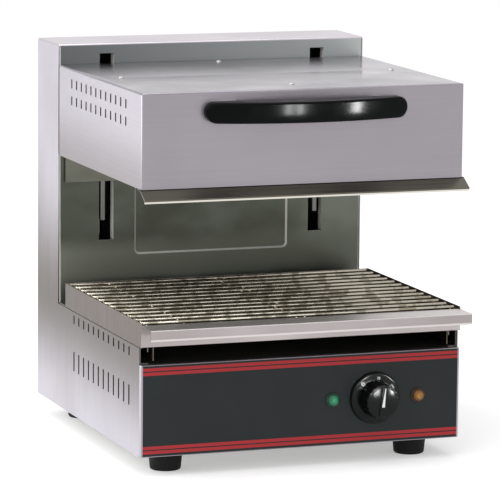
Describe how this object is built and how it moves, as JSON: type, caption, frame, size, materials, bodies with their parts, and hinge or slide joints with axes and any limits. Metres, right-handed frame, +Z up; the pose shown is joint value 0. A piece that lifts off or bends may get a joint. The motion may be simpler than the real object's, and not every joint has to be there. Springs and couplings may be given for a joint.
{
  "type": "cheese melter",
  "caption": "Counter-top lift cheese melter: stainless base and rear column, a counterbalanced grill hood that slides up and down, a drip tray and a wire rack.",
  "frame": {"origin": "centre of the bounding box's bottom face, on the surface that the rubber feet stand on, hood at the height in the picture", "axes": "+X to the object's right as its user sees it, -Y towards the user, +Z up"},
  "size_m": [0.454, 0.516, 0.533],
  "materials": {
    "casing_steel": "satin",
    "lid_steel": "satin",
    "inner_steel": "satin",
    "tray_steel": "satin",
    "beam_steel": "satin",
    "zinc_steel": "satin",
    "rod_chrome": "polished",
    "rack_chrome": "polished",
    "fascia_film": "satin",
    "green_lens": "gloss",
    "amber_lens": "gloss",
    "knob_plastic": "gloss",
    "handle_plastic": "gloss",
    "black_plastic": "matte",
    "white_plastic": "matte",
    "foot_rubber": "matte",
    "buffer_rubber": "matte",
    "bronze": "satin",
    "carriage_aluminium": "satin",
    "weight_paint": "satin",
    "wire_rope": "satin",
    "element_sheath": "matte",
    "ceramic_white": "matte",
    "mineral_wool": "matte",
    "lead_sheath": "matte"
  },
  "bodies": {
    "base": {"side_panel_left": "casing_steel", "side_panel_right": "casing_steel", "base_floor": "inner_steel", "front_panel": "casing_steel", "control_fascia": "fascia_film", "base_deck": "inner_steel", "tray_rail_left": "casing_steel", "tray_rail_right": "casing_steel", "column_front": "casing_steel", "column_back": "casing_steel", "column_top": "lid_steel", "lower_beam": "beam_steel", "top_beam": "beam_steel", "guide_rods": "rod_chrome", "rod_clamps": "beam_steel", "weight_guide_rods": "rod_chrome", "stop_buffers": "buffer_rubber", "pulley_brackets": "zinc_steel", "pulley_pins": "zinc_steel", "lift_cable_left": "wire_rope", "lift_cable_right": "wire_rope", "thermostat": "black_plastic", "green_lamp": "green_lens", "amber_lamp": "amber_lens", "lamp_holders": "black_plastic", "terminal_block": "white_plastic", "cable_gland": "black_plastic", "base_loom": "lead_sheath", "lead_clip": "black_plastic", "hood_lead": "lead_sheath", "rear_screws": "zinc_steel", "rubber_feet": "foot_rubber", "foot_bolts": "zinc_steel"},
    "hood": {"hood_wrap": "casing_steel", "hood_top": "lid_steel", "hood_stiffener": "inner_steel", "hood_back_plate": "casing_steel", "hood_lip": "casing_steel", "hood_reflector": "inner_steel", "hood_insulation": "mineral_wool", "heating_elements": "element_sheath", "element_terminals": "ceramic_white", "element_hangers": "inner_steel", "hood_handle": "handle_plastic", "handle_screws": "zinc_steel", "lid_screws": "zinc_steel", "lift_arm_left": "casing_steel", "lift_arm_right": "casing_steel", "slide_blocks": "carriage_aluminium", "guide_bushes": "bronze", "carriage_crossbar": "beam_steel", "carriage_terminal": "black_plastic"},
    "counterweight": {"counterweight": "weight_paint"},
    "pulley_left": {"pulley_left": "carriage_aluminium"},
    "pulley_right": {"pulley_right": "carriage_aluminium"},
    "tray": {"drip_tray": "tray_steel", "rack_ledges": "tray_steel"},
    "rack": {"wire_rack": "rack_chrome"},
    "knob": {"control_knob": "knob_plastic", "knob_shaft": "zinc_steel"}
  },
  "joints": [
    {"name": "hood_lift", "type": "slide", "parent": "base", "child": "hood", "axis": [0, 0, 1], "range_m": [-0.14, 0.018], "deforming": ["lift_cable_left", "lift_cable_right", "hood_lead"]},
    {"name": "counterweight_slide", "type": "slide", "parent": "base", "child": "counterweight", "axis": [0, 0, 1], "range_m": [-0.02, 0.142]},
    {"name": "pulley_left_spin", "type": "hinge", "parent": "base", "child": "pulley_left", "pos_m": [-0.1, 0.202, 0.493], "axis": [1, 0, 0], "range_deg": [-60, 380]},
    {"name": "pulley_right_spin", "type": "hinge", "parent": "base", "child": "pulley_right", "pos_m": [0.1, 0.202, 0.493], "axis": [1, 0, 0], "range_deg": [-60, 380]},
    {"name": "tray_slide", "type": "slide", "parent": "base", "child": "tray", "axis": [0, -1, 0], "range_m": [0, 0.3]},
    {"name": "rack_lift", "type": "slide", "parent": "tray", "child": "rack", "axis": [0, 0, 1], "range_m": [0, 0.015]},
    {"name": "knob_turn", "type": "hinge", "parent": "base", "child": "knob", "pos_m": [0.1025, -0.218, 0.0888], "axis": [0, 1, 0], "range_deg": [0, 270]}
  ],
  "couplings": [
    {"joint": "counterweight_slide", "follows": "hood_lift", "ratio": -1},
    {"joint": "pulley_left_spin", "follows": "hood_lift", "rad_per_m": -45.455},
    {"joint": "pulley_right_spin", "follows": "hood_lift", "rad_per_m": -45.455}
  ]
}
